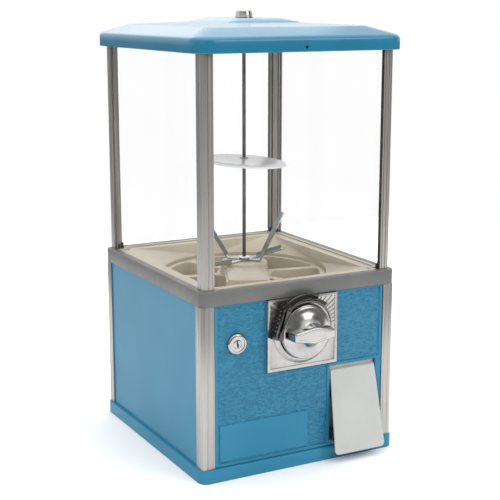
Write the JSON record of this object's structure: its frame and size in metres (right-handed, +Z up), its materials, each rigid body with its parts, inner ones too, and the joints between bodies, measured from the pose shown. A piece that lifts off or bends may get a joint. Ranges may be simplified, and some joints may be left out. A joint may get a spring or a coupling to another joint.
{
  "type": "gumball machine",
  "caption": "Countertop gumball machine: windowed square globe on corner posts over a steel cabinet, coin mechanism, dispensing wheel and hinged outlet flap.",
  "frame": {"origin": "on the floor at the centre of the base tray's footprint", "axes": "+Z up, -Y towards the front with the coin mechanism, +X to the right seen from the front"},
  "size_m": [0.312, 0.3716, 0.6105],
  "materials": {
    "blue_painted_steel": "gloss powder coat",
    "blue_moulded_plastic": "glossy moulded plastic",
    "blue_grained_door": "glossy moulding with a grained field",
    "bare_aluminium": "satin extrusion",
    "belt_grey": "satin grey moulding",
    "cream_plastic": "semi-gloss moulding",
    "black_plastic": "black moulding",
    "clear_acrylic": "clear acrylic sheet",
    "galvanised_steel": "galvanised",
    "plated_steel": "zinc plated",
    "steel_rod": "drawn rod, dull",
    "chrome": "polished chrome",
    "dark_chrome": "darkened chrome casting",
    "flap_steel": "pale satin enamel",
    "disc_plastic": "white glossy moulding"
  },
  "bodies": {
    "cabinet": {"base_tray": "blue_painted_steel", "left_panel": "blue_painted_steel", "right_panel": "blue_painted_steel", "rear_panel": "blue_painted_steel", "lower_post_front_left": "bare_aluminium", "lower_post_front_right": "bare_aluminium", "lower_post_rear_left": "bare_aluminium", "lower_post_rear_right": "bare_aluminium", "belt_frame": "belt_grey", "hopper_tray": "cream_plastic", "outlet_guard": "cream_plastic", "post_feet": "black_plastic", "upper_post_front_left": "bare_aluminium", "upper_post_front_right": "bare_aluminium", "upper_post_rear_left": "bare_aluminium", "upper_post_rear_right": "bare_aluminium", "front_window": "clear_acrylic", "rear_window": "clear_acrylic", "left_window": "clear_acrylic", "right_window": "clear_acrylic", "center_rod": "steel_rod", "deflector_disc": "disc_plastic", "disc_clips": "plated_steel", "rod_nut": "plated_steel", "door_hinge_pins": "plated_steel", "outlet_chute": "galvanised_steel", "cash_box": "galvanised_steel"},
    "lid": {"lid": "blue_moulded_plastic", "lid_lock_barrel": "chrome", "lid_lock_nut": "plated_steel"},
    "lid_key": {"lid_lock_plug": "chrome"},
    "wheel": {"dispensing_wheel": "cream_plastic", "crown_gear": "black_plastic", "agitator": "plated_steel", "agitator_screws": "black_plastic", "hub_washer": "disc_plastic"},
    "door": {"front_door": "blue_grained_door", "coin_faceplate": "chrome", "coin_arch": "dark_chrome", "coin_housing": "galvanised_steel", "housing_nuts": "plated_steel", "door_lock_barrel": "chrome", "door_lock_nut": "plated_steel", "flap_pin": "plated_steel", "catch_tray": "galvanised_steel"},
    "knob": {"coin_dial": "chrome", "coin_handle": "chrome", "coin_shaft": "plated_steel", "coin_wheel": "galvanised_steel", "drive_pinion": "black_plastic"},
    "pawl": {"coin_pawl": "plated_steel"},
    "door_key": {"door_lock_plug": "chrome", "door_lock_cam": "plated_steel"},
    "flap": {"dispensing_flap": "flap_steel"}
  },
  "joints": [
    {"name": "lid_lift", "type": "slide", "parent": "cabinet", "child": "lid", "axis": [0, 0, 1], "range_m": [0, 0.25]},
    {"name": "lid_lock_turn", "type": "hinge", "parent": "lid", "child": "lid_key", "pos_m": [0, 0, 0.6], "axis": [0, 0, 1], "range_deg": [0, 90]},
    {"name": "wheel_spin", "type": "hinge", "parent": "cabinet", "child": "wheel", "pos_m": [0, 0, 0.2135], "axis": [0, 0, 1], "continuous": true},
    {"name": "door_swing", "type": "hinge", "parent": "cabinet", "child": "door", "pos_m": [0.1265, -0.1598, 0.129], "axis": [0, 0, 1], "range_deg": [0, 75]},
    {"name": "knob_turn", "type": "hinge", "parent": "door", "child": "knob", "pos_m": [0, -0.1633, 0.1925], "axis": [0, -1, 0], "continuous": true},
    {"name": "pawl_lift", "type": "hinge", "parent": "door", "child": "pawl", "pos_m": [0.03, -0.14, 0.2145], "axis": [0, -1, 0], "range_deg": [0, 8], "stiffness_Nm_per_rad": 0.02},
    {"name": "door_lock_turn", "type": "hinge", "parent": "door", "child": "door_key", "pos_m": [-0.098, -0.15, 0.186], "axis": [0, 1, 0], "range_deg": [0, 90]},
    {"name": "flap_swing", "type": "hinge", "parent": "door", "child": "flap", "pos_m": [0.0835, -0.1555, 0.131], "axis": [-1, 0, 0], "range_deg": [0, 50]}
  ],
  "couplings": [
    {"joint": "knob_turn", "follows": "wheel_spin", "ratio": -6}
  ]
}
